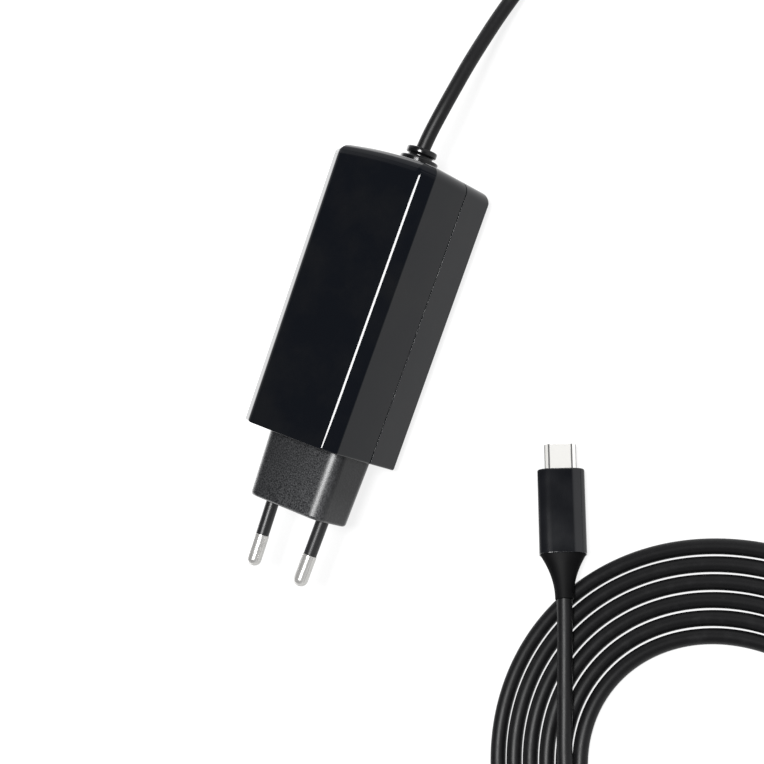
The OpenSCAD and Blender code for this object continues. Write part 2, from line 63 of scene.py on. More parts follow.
bodyName = list(frame["bodies"])[0]
mm = 0.001


# camera: where it stands, how it is turned, and its lens on a 36 mm sensor
cameraSetup = {
    "eye": (304.2, -3.3, 414.3),
    "roll": 19.02,
    "lean": 36.25,
    "tip": 0.17,
    "lens": 85.16,
}


def makeCamera():
    data = bpy.data.cameras.new("camera")
    data.lens = cameraSetup["lens"]
    data.sensor_width = 36
    data.clip_start = 0.01
    data.clip_end = 50
    camera = bpy.data.objects.new("camera", data)
    turn = (
        Matrix.Rotation(radians(cameraSetup["tip"]), 4, "X")
        @ Matrix.Rotation(radians(cameraSetup["lean"]), 4, "Y")
        @ Matrix.Rotation(radians(cameraSetup["roll"]), 4, "Z")
    )
    camera.matrix_world = Matrix.Translation(Vector(cameraSetup["eye"]) * mm) @ turn
    bpy.context.scene.collection.objects.link(camera)
    bpy.context.scene.camera = camera
    print("camera placed")


makeCamera()

# sizes read back from the CAD pieces
caseLow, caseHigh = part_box("front_cover")
rearLow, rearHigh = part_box("rear_cover")
glandLow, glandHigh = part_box("lead_gland")
caseLow = Vector((rearLow[0], rearLow[1], rearLow[2]))
caseHigh = Vector((rearHigh[0], rearHigh[1], caseHigh[2]))
axisHeight = (caseLow.z + caseHigh.z) / 2
exitPoint = Vector((0, glandHigh[1], axisHeight))

# the lead: its size, its route and its coil
lead = {
    "diameter": 4.0,
    "gap": 0.1,
    "crossing": 6.3,
    "length": 2.42,
    "coilAt": (138.6, -127.5),
    "coilStart": (68.0, 58.6),
    "coilShrink": (4.82, 4.34),
    "coilFrom": -0.11,
    "coilTo": 6.09,
    "stepsPerTurn": 40,
    "plugTurn": 25.0,
}
# run from the exit: x, y and the share of the exit's height that is left
runRoute = [
    (0, 0, 1), (0.5, 5, 0.99), (1.4, 12, 0.95), (1.9, 19, 0.86), (2.15, 27, 0.72), (2.3, 35, 0.54),
    (2.7, 43, 0.36), (3.8, 51, 0.2), (6.2, 60, 0.08), (10.8, 71, 0), (17.6, 81, 0), (27, 90, 0), (38, 96, 0),
    (51, 98, 0), (64, 95, 0), (75, 88, 0), (84, 78, 0), (91, 66, 0), (97, 54, 0), (102, 42, 0),
    (107, 30, 0), (112, 18, 0), (117, 6, 0), (122, -6, 0), (128, -18, 0), (135, -30, 0), (143, -41, 0),
    (152, -51, 0), (162, -61, 0), (172, -70.5, 0), (181.4, -80.4, 0),
]
# tail over the coil: x and y from the exit, and the share of its climb
tailRoute = [
    (156.5, -155.6, 0), (149, -158, 0), (139, -159.6, 0.04), (130, -159.4, 0.35),
    (121, -157, 0.8), (112.6, -153.6, 1), (105, -149.2, 1), (99.8, -144.2, 1), (96.6, -138.2, 1),
    (92.8, -128.6, 1), (89, -119, 1), (85.2, -109.4, 1), (82, -101.6, 1),
]


def leadPoints():
    lie = lead["diameter"] / 2 + lead["gap"]
    top = exitPoint / mm
    points = [Vector((x, top.y + y, lie + (top.z - lie) * share)) for x, y, share in runRoute]
    steps = round((lead["coilTo"] - lead["coilFrom"]) * lead["stepsPerTurn"])
    for i in range(steps + 1):
        turns = lead["coilFrom"] + (lead["coilTo"] - lead["coilFrom"]) * i / steps
        halfX = lead["coilStart"][0] - lead["coilShrink"][0] * turns
        halfY = lead["coilStart"][1] - lead["coilShrink"][1] * turns
        points.append(Vector((
            lead["coilAt"][0] + halfX * cos(2 * pi * turns),
            top.y + lead["coilAt"][1] - halfY * sin(2 * pi * turns),
            lie,
        )))
    points += [Vector((x, top.y + y, lie + (lead["crossing"] - lie) * share)) for x, y, share in tailRoute]
    return [p * mm for p in points]


def smoothPath(points, spacing):
    # rounds the listed points into an even line that still passes through them
    line = []
    for i in range(len(points) - 1):
        a, b = points[max(i - 1, 0)], points[i]
        c, d = points[i + 1], points[min(i + 2, len(points) - 1)]
        count = max(1, round((c - b).length / spacing))
        for k in range(count):
            t = k / count
            line.append(0.5 * (
                2 * b + (c - a) * t + (2 * a - 5 * b + 4 * c - d) * t * t
                + (3 * b - a - 3 * c + d) * t * t * t
            ))
    line.append(points[-1])
    return line


def makeLead():
    line = smoothPath(leadPoints(), 1.6 * mm)
    curve = bpy.data.curves.new("lead", "CURVE")
    curve.dimensions = "3D"
    spline = curve.splines.new("POLY")
    spline.points.add(len(line) - 1)
    for point, spot in zip(spline.points, line):
        point.co = (*spot, 1)
        point.radius = lead["diameter"] / 2 * mm
    curve.bevel_depth = 1
    curve.bevel_resolution = 6
    curve.use_fill_caps = True
    cord = bpy.data.objects.new("lead", curve)
    bpy.context.scene.collection.objects.link(cord)
    length = sum((b - a).length for a, b in zip(line, line[1:]))
    print("lead laid, length", round(length, 4))
    return cord


leadCord = makeLead()
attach(leadCord, bodyName)
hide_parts("lead_run", "lead_coil", "lead_tail")


def makeActive(piece):
    if bpy.context.object and bpy.context.object.mode != "OBJECT":
        bpy.ops.object.mode_set(mode="OBJECT")
    bpy.ops.object.select_all(action="DESELECT")
    piece.select_set(True)
    bpy.context.view_layer.objects.active = piece


def newPiece(name, kind, **settings):
    # adds a primitive, named and with its place in its mesh
    if bpy.context.object and bpy.context.object.mode != "OBJECT":
        bpy.ops.object.mode_set(mode="OBJECT")
    bpy.ops.object.select_all(action="DESELECT")
    getattr(bpy.ops.mesh, "primitive_" + kind + "_add")(**settings)
    piece = bpy.context.object
    piece.name = name
    piece.data.name = name
    bpy.ops.object.transform_apply(location=True, rotation=True, scale=True)
    return piece


def pick(piece, kind, test):
    # selects vertices, edges or faces by their place and leaves the piece in edit mode
    makeActive(piece)
    mesh = piece.data
    for parts in (mesh.vertices, mesh.edges, mesh.polygons):
        parts.foreach_set("select", [False] * len(parts))
    if kind == "VERT":
        for v in mesh.vertices:
            v.select = test(v.co / mm)
    elif kind == "EDGE":
        for e in mesh.edges:
            a, b = (mesh.vertices[i].co / mm for i in e.vertices)
            e.select = test(a, b)
    else:
        for f in mesh.polygons:
            f.select = test(f.center / mm, f.normal)
    bpy.context.tool_settings.mesh_select_mode = (kind == "VERT", kind == "EDGE", kind == "FACE")
    bpy.ops.object.mode_set(mode="EDIT")


def move(x=0, y=0, z=0):
    bpy.ops.transform.translate(value=(x * mm, y * mm, z * mm))


def extrude(x=0, y=0, z=0):
    bpy.ops.mesh.extrude_region_move(TRANSFORM_OT_translate={"value": (x * mm, y * mm, z * mm)})


def finishEdit():
    bpy.ops.object.mode_set(mode="OBJECT")


def modify(piece, kind, **settings):
    # adds a modifier and applies it
    makeActive(piece)
    modifier = piece.modifiers.new(kind.lower(), kind)
    for key, value in settings.items():
        setattr(modifier, key, value)
    bpy.ops.object.modifier_apply(modifier=modifier.name)


def roundEdges(piece, radius, segments=3, angle=30):
    modify(piece, "BEVEL", width=radius * mm, segments=segments, limit_method="ANGLE",
           angle_limit=radians(angle), harden_normals=False)


def smooth(piece, angle=35, weighted=True):
    makeActive(piece)
    bpy.ops.object.shade_smooth_by_angle(angle=radians(angle))
    if weighted:
        modify(piece, "WEIGHTED_NORMAL", keep_sharp=True, weight=80)


def place(piece, matrix):
    # puts a piece built at the origin in its place, in its mesh
    makeActive(piece)
    piece.matrix_world = matrix
    bpy.ops.object.transform_apply(location=True, rotation=True, scale=True)


def give(piece, material, slot, *nodes):
    # material, record slot (not used) and the CAD nodes that a finished piece stands for
    piece.data.materials.clear()
    piece.data.materials.append(material)
    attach(piece, bodyName)
    if nodes:
        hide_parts(*nodes)


class Amount:
    # a shader number; arithmetic on it adds Math nodes
    def __init__(self, maker, socket):
        self.maker = maker
        self.socket = socket

    def combine(self, operation, first, second):
        return self.maker.add("ShaderNodeMath", {"operation": operation}, {0: first, 1: second})

    def __add__(self, other):
        return self.combine("ADD", self, other)

    __radd__ = __add__

    def __mul__(self, other):
        return self.combine("MULTIPLY", self, other)

    __rmul__ = __mul__

    def __sub__(self, other):
        return self.combine("SUBTRACT", self, other)

    def __rsub__(self, other):
        return self.combine("SUBTRACT", other, self)

    def __pow__(self, other):
        return self.combine("POWER", self, other)


class Shader:
    # one node tree; add() makes any node from its type, settings and socket values
    def __init__(self, tree):
        self.nodes = tree.nodes
        self.links = tree.links

    def add(self, kind, settings=None, values=None, output=0):
        node = self.nodes.new(kind)
        for key, value in (settings or {}).items():
            if key == "ramp":
                self.fillRamp(node.color_ramp, value)
            else:
                setattr(node, key, value)
        self.fill(node, values or {})
        return Amount(self, node.outputs[output])

    def fillRamp(self, ramp, stops):
        while len(ramp.elements) < len(stops):
            ramp.elements.new(0.5)
        for element, (spot, colour) in zip(ramp.elements, stops):
            element.position = spot
            element.color = (*colour, 1) if len(colour) == 3 else colour

    def fill(self, node, values):
        for key, value in values.items():
            if isinstance(value, Amount):
                self.links.new(value.socket, node.inputs[key])
            else:
                node.inputs[key].default_value = value

    def place(self, scale=(1, 1, 1)):
        # object coordinates, stretched
        spot = self.add("ShaderNodeTexCoord", output=3)
        return self.add("ShaderNodeMapping", None, {"Vector": spot, "Scale": scale})

    def noise(self, scale, detail=3, roughness=0.5, stretch=(1, 1, 1)):
        return self.add("ShaderNodeTexNoise", None, {
            "Vector": self.place(stretch), "Scale": scale, "Detail": detail, "Roughness": roughness,
        })

    def spread(self, amount, low, high, lowest=0, highest=1):
        return self.add("ShaderNodeMapRange", {"clamp": True}, {
            "Value": amount, "From Min": low, "From Max": high, "To Min": lowest, "To Max": highest,
        })

    def mix(self, share, first, second):
        # blends two colours
        node = self.nodes.new("ShaderNodeMix")
        node.data_type = "RGBA"
        self.fill(node, {0: share})
        for socket, value in ((node.inputs[6], first), (node.inputs[7], second)):
            if isinstance(value, Amount):
                self.links.new(value.socket, socket)
            else:
                socket.default_value = (*value, 1)
        return Amount(self, node.outputs[2])

    def bump(self, height, distance, strength=1.0):
        return self.add("ShaderNodeBump", None, {
            "Height": height, "Distance": distance * mm, "Strength": strength,
        })


class Finish(Shader):
    # one material
    def __init__(self, name):
        self.material = bpy.data.materials.new(name)
        self.material.use_nodes = True
        super().__init__(self.material.node_tree)
        self.surface = self.nodes["Principled BSDF"]

    def finish(self, **sockets):
        names = {
            "colour": "Base Color", "rough": "Roughness", "metal": "Metallic", "normal": "Normal",
            "coat": "Coat Weight", "coatRough": "Coat Roughness", "specular": "Specular IOR Level",
            "ior": "IOR",
        }
        values = {}
        for key, value in sockets.items():
            if key == "colour" and not isinstance(value, Amount):
                value = (*value, 1)
            values[names[key]] = value
        self.fill(self.surface, values)
        return self.material


glossCase = {
    "colour": (0.003, 0.0036, 0.005),
    "rough": 0.035,
    "smudge": 0.03,
    "wave": 0.0006,
    "iorFront": 1.285,
    "iorRear": 1.345,
}


def makeGlossCase(name, ior):
    finish = Finish(name)
    smudge = finish.spread(finish.noise(55, 5, 0.6), 0.45, 0.75)
    hair = finish.spread(finish.noise(900, 2, 0.5, (1, 0.06, 1)), 0.62, 0.8)
    wave = finish.noise(38, 1)
    rough = smudge * glossCase["smudge"] + hair * 0.03 + glossCase["rough"]
    return finish.finish(
        colour=finish.mix(smudge, glossCase["colour"], (0.0055, 0.0058, 0.0065)),
        rough=rough,
        normal=finish.bump(wave, glossCase["wave"]),
        ior=ior,
    )


neckGrain = {
    "colour": (0.005, 0.0053, 0.006),
    "light": (0.055, 0.056, 0.058),
    "rough": 0.33,
    "specular": 0.2,
    "coat": 0.9,
    "coatRough": 0.36,
    "size": 0.32,
    "depth": 0.06,
}


def makeNeckGrain():
    finish = Finish("spark textured charcoal")
    grain = finish.add("ShaderNodeTexVoronoi", {"feature": "F1"}, {
        "Vector": finish.place(), "Scale": 1000 / neckGrain["size"], "Randomness": 1.0,
    })
    fine = finish.noise(2600, 3, 0.6)
    height = grain * 0.6 + fine
    across = finish.add("ShaderNodeSeparateXYZ", None, {0: finish.place()})
    # painted sheen: this share lightens the flecks towards the +x side of the front face and thins them out on
    # the side face beyond 13.4 mm, so the front is painted lighter towards its right edge and the side face
    # darker; it also sets the coat weight
    paintedSheenAndCoat = finish.spread(across, -0.014, 0.009, 0.25, 1) * finish.spread(across, 0.0134, 0.0122, 0.12, 1)
    fleckAndPaintedSheen = finish.spread(fine, 0.4, 0.66) * paintedSheenAndCoat
    return finish.finish(
        colour=finish.mix(fleckAndPaintedSheen, neckGrain["colour"], neckGrain["light"]),
        rough=fleckAndPaintedSheen * 0.12 + neckGrain["rough"],
        specular=neckGrain["specular"],
        coat=paintedSheenAndCoat * neckGrain["coat"],
        coatRough=neckGrain["coatRough"],
        normal=finish.bump(height, neckGrain["depth"], 0.7),
    )


def makeNickel():
    # bright plating with hairline marks round the shaft
    finish = Finish("nickel pins")
    colour = plated["colour"]
    hair = finish.noise(700, 3, 0.6, (0.3, 3.0, 0.3))
    cloud = finish.noise(160, 3)
    marks = finish.spread(hair, 0.5, 0.75)
    return finish.finish(
        colour=finish.mix(marks, colour, tuple(0.82 * c for c in colour)),
        metal=plated["metal"],
        rough=cloud * 0.08 + marks * 0.06 + plated["rough"],
        normal=finish.bump(hair, plated["scratch"]),
    )


def makePlain(name, colour, rough, grain=900, depth=0.004, metal=0.0, coat=0.0, specular=0.5):
    # moulded, coated or drawn stock with a little unevenness
    finish = Finish(name)
    fine = finish.noise(grain, 3)
    cloud = finish.spread(finish.noise(70, 4), 0.35, 0.7)
    return finish.finish(
        colour=finish.mix(cloud, colour, tuple(min(1, 1.25 * c + 0.002) for c in colour)),
        rough=cloud * 0.08 + rough,
        metal=metal,
        coat=coat,
        specular=specular,
        normal=finish.bump(fine, depth),
    )


jacket = {"colour": (0.0035, 0.0035, 0.0038), "rough": 0.42, "grain": 0.004, "specular": 0.18}


def makeJacket():
    finish = Finish("matte lead jacket")
    fine = finish.noise(1800, 3, 0.6)
    dust = finish.spread(finish.noise(240, 5, 0.65), 0.5, 0.8)
    return finish.finish(
        colour=finish.mix(dust, jacket["colour"], (0.006, 0.006, 0.0065)),
        rough=dust * 0.1 + jacket["rough"],
        specular=jacket["specular"],
        normal=finish.bump(fine, jacket["grain"]),
    )


# plated metal: colour, roughness, depth of its hairlines, metal share
plated = {"colour": (0.46, 0.455, 0.44), "rough": 0.2, "scratch": 0.0008, "metal": 0.65}
# moulded parts: name, colour, roughness, grain and its depth, specular level
moulded = {
    "sleeve": ("pin sleeve", (0.008, 0.008, 0.0085), 0.3, 1500, 0.003, 0.3),
    "gland": ("gland black", (0.002, 0.002, 0.0023), 0.12, 1500, 0.001, 0.3),
    "grip": ("satin grip", (0.003, 0.0033, 0.0042), 0.1, 1200, 0.0008, 0.48),
    "relief": ("soft relief", (0.0012, 0.0012, 0.0014), 0.5, 2000, 0.005, 0.05),
}

finishes = {
    "front": makeGlossCase("polished black front", glossCase["iorFront"]),
    "rear": makeGlossCase("polished black rear", glossCase["iorRear"]),
    "neck": makeNeckGrain(),
    "pin": makeNickel(),
    "jacket": makeJacket(),
}
for part, (name, colour, rough, grain, depth, specular) in moulded.items():
    finishes[part] = makePlain(name, colour, rough, grain, depth, specular=specular)
print("finishes made")

caseShape = {
    "widthAtPlug": 34.0,
    "widthAtLead": 36.0,
    "bevelAcross": 3.9,
    "bevelDeep": 2.9,
    "rearBevel": 3.9,
    "fillet": 3.0,
    "filletSteps": 10,
    "archStep": 3.0,
    "archSteps": 4,
    "rise": 0.8,
    "wall": 2.0,
    "parting": 15.6,
    "partingGap": 0.3,
    "frontEdge": 1.0,
    "sideEdge": 0.25,
    "plugEdge": 0.15,
    "plugSideEdge": 0.6,
    "partingEdge": 0.12,
}


def makeCase():
    c = caseShape
    startY, endY = caseLow.y / mm, caseHigh.y / mm - c["rise"]
    depth = caseHigh.z / mm
    whole = newPiece("case", "cube", size=1, location=Vector((0, (startY + endY) / 2, depth / 2)) * mm,
                     scale=Vector((c["widthAtPlug"], endY - startY, depth)) * mm)
    pick(whole, "VERT", lambda p: p.y > 0)
    bpy.ops.transform.resize(value=(c["widthAtLead"] / c["widthAtPlug"], 1, 1))
    finishEdit()
    pick(whole, "EDGE", lambda a, b: abs(a.y - b.y) > 10)
    bpy.ops.mesh.bevel(offset=c["rearBevel"] * mm, segments=1)
    finishEdit()
    pick(whole, "VERT", lambda p: depth - 5 < p.z < depth - 1)
    move(z=c["rearBevel"] - c["bevelDeep"])
    finishEdit()
    for side in (-1, 1):
        pick(whole, "VERT", lambda p: p.z > depth - 0.1 and p.x * side > 0)
        move(x=side * (c["rearBevel"] - c["bevelAcross"]))
        finishEdit()
    # arch the lead end across the body, then fillet it
    columns = [c["archStep"] * i for i in range(-c["archSteps"], c["archSteps"] + 1)]
    for x in columns:
        pick(whole, "FACE", lambda centre, normal: True)
        bpy.ops.mesh.bisect(plane_co=(x * mm, 0, 0), plane_no=(1, 0, 0))
        finishEdit()
    half = c["widthAtLead"] / 2
    for x in columns + [side * (half - leg) for side in (-1, 1) for leg in (c["bevelAcross"], c["rearBevel"])]:
        pick(whole, "VERT", lambda p: p.y > endY - 0.1 and abs(p.x - x) < 0.01 and not p.y > endY + 0.01)
        move(y=c["rise"] * (1 - (x / half) ** 2))
        finishEdit()
    pick(whole, "EDGE", lambda a, b: min(a.y, b.y) > endY - 0.1 and abs(a.z - b.z) < depth - 1)
    bpy.ops.mesh.bevel(offset=c["fillet"] * mm, segments=c["filletSteps"], clamp_overlap=False)
    finishEdit()
    # soften the long edges, less and less where they run out in the fillet
    widest = c["frontEdge"]
    weights = whole.data.attributes.new("bevel_weight_edge", "FLOAT", "EDGE")
    faces = {}
    for f in whole.data.polygons:
        for key in f.edge_keys:
            faces.setdefault(key, []).append(f)
    for e in whole.data.edges:
        a, b = (whole.data.vertices[i].co / mm for i in e.vertices)
        first, second = faces[e.key]
        turn = degrees(first.normal.angle(second.normal))
        if max(a.y, b.y) < startY + 0.1:
            radius = c["plugEdge" if min(a.z, b.z) > depth - 0.1 else "plugSideEdge"]
        elif abs(a.y - b.y) > 0.01 and turn > 3 and max(a.y, b.y) < endY + 0.3:
            fade = max(0.0, (max(a.y, b.y) - (endY - c["fillet"])) / c["fillet"])
            frontOrBack = min(depth - max(a.z, b.z), min(a.z, b.z)) < 0.3 + fade * c["fillet"] * 0.6
            radius = (c["frontEdge"] if frontOrBack else c["sideEdge"]) * (1 - 0.9 * fade)
        else:
            continue
        weights.data[e.index].value = radius / widest
    modify(whole, "BEVEL", width=widest * mm, segments=6, limit_method="WEIGHT", harden_normals=False,
           use_clamp_overlap=False)
    w = c["wall"]
    cavity = newPiece("cavity", "cube", size=1, location=Vector((0, (startY + endY) / 2, depth / 2)) * mm,
                      scale=Vector((c["widthAtPlug"] - 2 * w, endY - startY - 2 * w, depth - 2 * w)) * mm)
    pick(cavity, "VERT", lambda p: p.y > 0)
    bpy.ops.transform.resize(value=((c["widthAtLead"] - 2 * w) / (c["widthAtPlug"] - 2 * w), 1, 1))
    finishEdit()
    pick(cavity, "EDGE", lambda a, b: abs(a.y - b.y) > 10)
    bpy.ops.mesh.bevel(offset=(c["rearBevel"] - w * 0.59) * mm, segments=1)
    finishEdit()
    covers = []
    for name, side in (("case_front", 1), ("case_rear", -1)):
        makeActive(whole)
        bpy.ops.object.duplicate()
        cover = bpy.context.object
        cover.name = name
        cover.data.name = name
        level = c["parting"] + side * c["partingGap"] / 2
        pick(cover, "FACE", lambda centre, normal: True)
        bpy.ops.mesh.bisect(plane_co=(0, 0, level * mm), plane_no=(0, 0, side),
                            clear_inner=True, use_fill=True)
        finishEdit()
        pick(cover, "EDGE", lambda a, b: abs(a.z - level) < 0.01 and abs(b.z - level) < 0.01)
        bpy.ops.mesh.bevel(offset=c["partingEdge"] * mm, segments=2)
        finishEdit()
        modify(cover, "BOOLEAN", object=cavity, operation="DIFFERENCE", solver="EXACT")
        smooth(cover, 40)
        covers.append(cover)
    bpy.data.objects.remove(cavity)
    bpy.data.objects.remove(whole)
    print("case made")
    return covers


caseFront, caseRear = makeCase()
give(caseFront, finishes["front"], "case_gloss", "front_cover")
give(caseRear, finishes["rear"], "case_gloss", "rear_cover")

neckShape = {
    "width": 27.4,
    "depth": 17.0,
    "length": 19.0,
    "tipWidth": 26.2,
    "tipDepth": 16.4,
    "radius": 4.0,
    "tipEdge": 0.9,
}


def makeNeck():
    n = neckShape
    topY = caseLow.y / mm
    tipY = topY - n["length"]
    neck = newPiece("neck", "cube", size=1,
                    location=Vector((0, (topY + tipY) / 2, axisHeight / mm)) * mm,
                    scale=Vector((n["width"], n["length"], n["depth"])) * mm)
    pick(neck, "VERT", lambda p: p.y < tipY + 1)
    bpy.ops.transform.resize(value=(n["tipWidth"] / n["width"], 1, n["tipDepth"] / n["depth"]))
    finishEdit()
    pick(neck, "EDGE", lambda a, b: abs(a.y - b.y) > 5)
    bpy.ops.mesh.bevel(offset=n["radius"] * mm, segments=12)
    finishEdit()
    pick(neck, "EDGE", lambda a, b: max(a.y, b.y) < tipY + 0.1)
    bpy.ops.mesh.bevel(offset=n["tipEdge"] * mm, segments=5)
    finishEdit()
    smooth(neck, 40)
    print("neck made")
    return neck


plugNeck = makeNeck()
give(plugNeck, finishes["neck"], "neck_matte", "plug_neck")

pinShape = {
    "diameter": 4.0,
    "length": 19.0,
    "sleeve": 10.0,
    "sleeveDiameter": 3.68,
    "shank": 2.88,
    "shankDepth": 12.0,
    "sleeveDepth": 6.3,
    "spacing": 18.6,
    "tipSpacing": 17.5,
}


def pinFrame(side):
    # local +Z runs outwards along the pin
    p = pinShape
    tilt = (p["spacing"] - p["tipSpacing"]) / 2 / p["length"]
    at = Vector((side * p["spacing"] / 2, caseLow.y / mm - neckShape["length"], axisHeight / mm)) * mm
    return (
        Matrix.Translation(at)
        @ Matrix.Rotation(-side * tilt, 4, "Z") @ Matrix.Rotation(pi / 2, 4, "X")
    )


def makePin(name, side):
    p = pinShape
    bare = p["length"] - p["sleeve"]
    pin = newPiece(name, "cylinder", vertices=48, radius=p["diameter"] / 2 * mm, depth=bare * mm,
                   location=(0, 0, (p["sleeve"] + bare / 2) * mm))
    pick(pin, "EDGE", lambda a, b: min(a.z, b.z) > p["length"] - 0.1)
    bpy.ops.mesh.bevel(offset=0.93 * p["diameter"] / 2 * mm, segments=9)
    finishEdit()
    pick(pin, "FACE", lambda centre, normal: normal.z < -0.9)
    bpy.ops.mesh.inset(thickness=(p["diameter"] - p["shank"]) / 2 * mm)
    extrude(z=-(p["sleeve"] + p["shankDepth"]))
    finishEdit()
    pick(pin, "EDGE", lambda a, b: max(a.z, b.z) < p["sleeve"] + 0.1 and min(a.z, b.z) > p["sleeve"] - 0.1
         and a.to_2d().length > 1.9 and b.to_2d().length > 1.9)
    bpy.ops.mesh.bevel(offset=0.12 * mm, segments=2)
    finishEdit()
    smooth(pin, 35)
    place(pin, pinFrame(side))
    return pin


def makeSleeve(name, side):
    p = pinShape
    reach = p["sleeve"] + p["sleeveDepth"]
    sleeve = newPiece(name, "cylinder", vertices=48, radius=p["sleeveDiameter"] / 2 * mm, depth=reach * mm,
                      location=(0, 0, (p["sleeve"] - reach / 2) * mm), end_fill_type="NOTHING")
    modify(sleeve, "SOLIDIFY", thickness=(p["sleeveDiameter"] - p["shank"] - 0.06) / 2 * mm, offset=-1)
    roundEdges(sleeve, 0.12, 3, 60)
    smooth(sleeve, 35)
    place(sleeve, pinFrame(side))
    return sleeve


for sideName, side in (("left", -1), ("right", 1)):
    give(makePin(sideName + "_prong", side), finishes["pin"], "pin_nickel", sideName + "_pin")
    give(makeSleeve(sideName + "_sleeve", side), finishes["sleeve"], "sleeve_black", sideName + "_pin_sleeve")
print("pins made")

glandShape = {
    "flange": 10.8,
    "waist": 7.0,
    "collar": 8.6,
    "collarDepth": 1.7,
    "groove": 1.0,
    "reach": 5.2,
}


def makeGland():
    g = glandShape
    baseY = exitPoint.y / mm - g["reach"]
    flangeDepth = g["reach"] - g["collarDepth"] - g["groove"]
    gland = newPiece("gland", "cylinder", vertices=64, radius=g["flange"] / 2 * mm,
                     depth=(flangeDepth + 0.6) * mm, rotation=(pi / 2, 0, 0),
                     location=Vector((0, baseY + (flangeDepth - 0.6) / 2, axisHeight / mm)) * mm)
    pick(gland, "FACE", lambda centre, normal: normal.y > 0.9)
    bpy.ops.mesh.inset(thickness=(g["flange"] - g["waist"]) / 2 * mm)
    extrude(y=g["groove"])
    extrude()
    grow = g["collar"] / g["waist"]
    bpy.ops.transform.resize(value=(grow, 1, grow))
    extrude(y=g["collarDepth"])
    finishEdit()
    roundEdges(gland, 0.4, 4, 50)
    smooth(gland, 35)
    print("gland made")
    return gland


leadGland = makeGland()
give(leadGland, finishes["gland"], "gland_black", "lead_gland")

plugShape = {
    "gripWidth": 12.2,
    "gripHeight": 6.8,
    "gripLength": 22.2,
    "relief": 11.5,
    "roll": 29.0,
    "drop": 4.63,
    "tongueWidth": 8.3,
    "tongueHeight": 2.5,
    "tongueLength": 6.9,
    "tongueHold": 5.0,
    "tongueWall": 0.3,
    "flat": 0.42,
    "softEnd": 0.45,
}


def plugFrame():
    # local +Y runs along the lead plug from the end of its bend relief
    s = plugShape
    dip = (lead["crossing"] - s["drop"] - 0.2) / (s["relief"] + s["gripLength"])
    at = Vector((tailRoute[-1][0], exitPoint.y / mm + tailRoute[-1][1], lead["crossing"])) * mm
    return (
        Matrix.Translation(at) @ Matrix.Rotation(radians(lead["plugTurn"]), 4, "Z")
        @ Matrix.Rotation(-dip, 4, "X") @ Matrix.Rotation(radians(s["roll"]), 4, "Y")
    )


def makeGrip():
    s = plugShape
    legX = s["gripWidth"] / 2 * (1 - s["flat"])
    legZ = s["gripHeight"] / 2 * 0.62
    stretch = legX / legZ
    grip = newPiece("grip", "cube", size=1,
                    location=(0, (s["relief"] + s["gripLength"] / 2) * mm, 0),
                    scale=Vector((s["gripWidth"], s["gripLength"], s["gripHeight"] * stretch)) * mm)
    pick(grip, "EDGE", lambda a, b: abs(a.y - b.y) > 5)
    bpy.ops.mesh.bevel(offset=legX * mm, segments=8, profile=0.5)
    finishEdit()
    pick(grip, "VERT", lambda p: True)
    bpy.ops.transform.resize(value=(1, 1, 1 / stretch))
    finishEdit()
    pick(grip, "EDGE", lambda a, b: min(a.y, b.y) > s["relief"] + s["gripLength"] - 0.1)
    bpy.ops.mesh.bevel(offset=s["softEnd"] * mm, segments=4)
    finishEdit()
    pick(grip, "EDGE", lambda a, b: max(a.y, b.y) < s["relief"] + 0.1)
    bpy.ops.mesh.bevel(offset=0.12 * mm, segments=2)
    finishEdit()
    smooth(grip, 35)
    place(grip, plugFrame())
    return grip


def makeRelief():
    s = plugShape
    steps = 14
    tip = lead["diameter"] + 0.8
    relief = newPiece("relief", "cylinder", vertices=40, radius=tip / 2 * mm, depth=0.3 * mm,
                      rotation=(pi / 2, 0, 0), location=(0, 0.15 * mm, 0))
    pick(relief, "FACE", lambda centre, normal: normal.y > 0.9)
    wide, tall = tip, tip
    for i in range(1, steps + 1):
        share = (i / steps) ** 2.0
        nextWide = tip + (s["gripWidth"] - 0.3 - tip) * share
        nextTall = tip + (s["gripHeight"] - 0.3 - tip) * share
        extrude(y=(s["relief"] - 0.3) / steps)
        bpy.ops.transform.resize(value=(nextWide / wide, 1, nextTall / tall))
        wide, tall = nextWide, nextTall
    finishEdit()
    smooth(relief, 50, False)
    place(relief, plugFrame())
    return relief


def makeTongue():
    s = plugShape
    start = s["relief"] + s["gripLength"] - s["tongueHold"]
    length = s["tongueHold"] + s["tongueLength"]
    tongue = newPiece("tongue", "cylinder", vertices=32, radius=s["tongueHeight"] / 2 * mm,
                      depth=length * mm, end_fill_type="NOTHING",
                      rotation=(pi / 2, pi / 32, 0), location=(0, (start + length / 2) * mm, 0))
    half = (s["tongueWidth"] - s["tongueHeight"]) / 2
    for side in (-1, 1):
        pick(tongue, "VERT", lambda p: p.x * side > 0)
        move(x=side * half)
        finishEdit()
    modify(tongue, "SOLIDIFY", thickness=s["tongueWall"] * mm, offset=-1)
    roundEdges(tongue, 0.08, 2, 60)
    smooth(tongue, 35)
    place(tongue, plugFrame())
    return tongue


# tongue plate: its colour, the darker colour painted as shade along its bends and outer sides (fold),
# roughness, metal share and the width of each painted bend line (line)
foldedPlate = {
    "colour": (0.82, 0.81, 0.78),
    "fold": (0.12, 0.12, 0.12),
    "rough": 0.12,
    "metal": 0.5,
    "line": 0.32,
}


